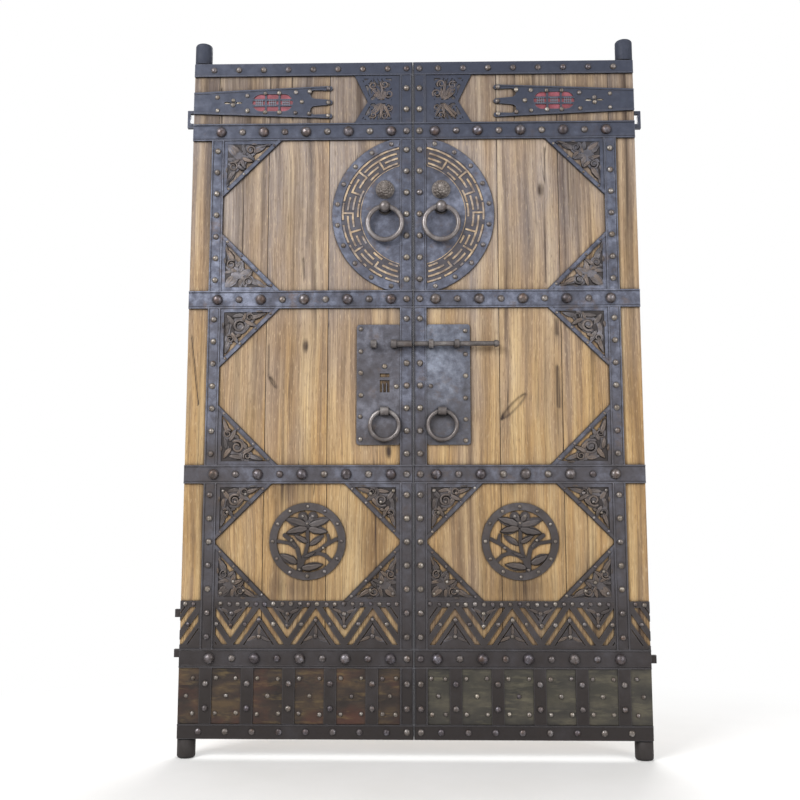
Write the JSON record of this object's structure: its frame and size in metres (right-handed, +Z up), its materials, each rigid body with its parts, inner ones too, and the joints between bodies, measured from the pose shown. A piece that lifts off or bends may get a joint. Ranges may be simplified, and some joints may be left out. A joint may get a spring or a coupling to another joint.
{
  "type": "double wooden door",
  "caption": "Double plank door on corner pivots with wrought-iron straps, domed studs, pierced brackets, half roundels with ring pulls, lock plates and a slide bolt.",
  "frame": {"origin": "middle of the foot, on the plane of the pivot axes, at the underside of the lower cups", "axes": "+X to the right seen from the front, +Z up, the ironed front faces -Y"},
  "size_m": [1.5212, 0.119, 2.3376],
  "materials": {
    "honey_wood": "worn, unvarnished",
    "grey_wood": "worn, weathered",
    "iron": "blued, hammered",
    "dark_iron": "blackened",
    "worn_iron": "rubbed bright",
    "patina": "brown patina",
    "red_paint": "worn paint"
  },
  "bodies": {
    "cups": {"pivot_cups": "dark_iron"},
    "left_leaf": {"left_stile": "honey_wood", "left_board_a": "grey_wood", "left_board_b": "honey_wood", "left_board_c": "grey_wood", "left_battens": "grey_wood", "left_pivots": "dark_iron", "left_shoes": "iron", "left_cross_straps": "iron", "left_upright_straps": "iron", "left_fishtail": "iron", "left_inlay": "red_paint", "left_scroll_plate": "iron", "left_upper_brackets": "iron", "left_lower_brackets": "dark_iron", "left_roundel": "iron", "left_boss": "patina", "left_knob": "worn_iron", "left_lock_plate": "iron", "left_staple": "worn_iron", "left_medallion": "dark_iron", "left_frieze": "dark_iron", "left_kick_sheet": "patina", "left_kick_strips": "dark_iron", "left_studs": "worn_iron", "left_lugs": "dark_iron", "bolt_keeper": "worn_iron"},
    "left_ring": {"left_ring": "worn_iron"},
    "left_lower_ring": {"left_lower_ring": "worn_iron"},
    "right_leaf": {"right_stile": "honey_wood", "right_board_a": "grey_wood", "right_board_b": "honey_wood", "right_board_c": "grey_wood", "right_battens": "grey_wood", "right_pivots": "dark_iron", "right_shoes": "iron", "right_cross_straps": "iron", "right_upright_straps": "iron", "right_fishtail": "iron", "right_inlay": "red_paint", "right_scroll_plate": "iron", "right_upper_brackets": "iron", "right_lower_brackets": "dark_iron", "right_roundel": "iron", "right_boss": "patina", "right_knob": "worn_iron", "right_lock_plate": "iron", "right_staple": "worn_iron", "right_medallion": "dark_iron", "right_frieze": "dark_iron", "right_kick_sheet": "patina", "right_kick_strips": "dark_iron", "right_studs": "worn_iron", "right_lugs": "dark_iron", "bolt_guides": "worn_iron"},
    "right_ring": {"right_ring": "worn_iron"},
    "right_lower_ring": {"right_lower_ring": "worn_iron"},
    "bolt": {"bolt": "worn_iron"}
  },
  "joints": [
    {"name": "left_leaf_swing", "type": "hinge", "parent": "cups", "child": "left_leaf", "pos_m": [-0.7111, 0, 0.0603], "axis": [0, 0, 1], "range_deg": [0, 100]},
    {"name": "left_ring_swing", "type": "hinge", "parent": "left_leaf", "child": "left_ring", "pos_m": [-0.0926, -0.0455, 1.7543], "axis": [-1, 0, 0], "range_deg": [0, 100]},
    {"name": "left_lower_ring_swing", "type": "hinge", "parent": "left_leaf", "child": "left_lower_ring", "pos_m": [-0.0926, -0.042, 1.07934], "axis": [-1, 0, 0], "range_deg": [0, 110]},
    {"name": "right_leaf_swing", "type": "hinge", "parent": "cups", "child": "right_leaf", "pos_m": [0.7111, 0, 0.0603], "axis": [0, 0, -1], "range_deg": [0, 100]},
    {"name": "right_ring_swing", "type": "hinge", "parent": "right_leaf", "child": "right_ring", "pos_m": [0.0926, -0.0455, 1.7543], "axis": [-1, 0, 0], "range_deg": [0, 100]},
    {"name": "right_lower_ring_swing", "type": "hinge", "parent": "right_leaf", "child": "right_lower_ring", "pos_m": [0.0926, -0.042, 1.07934], "axis": [-1, 0, 0], "range_deg": [0, 110]},
    {"name": "bolt_slide", "type": "slide", "parent": "right_leaf", "child": "bolt", "axis": [-1, 0, 0], "range_m": [0, 0.11]}
  ]
}
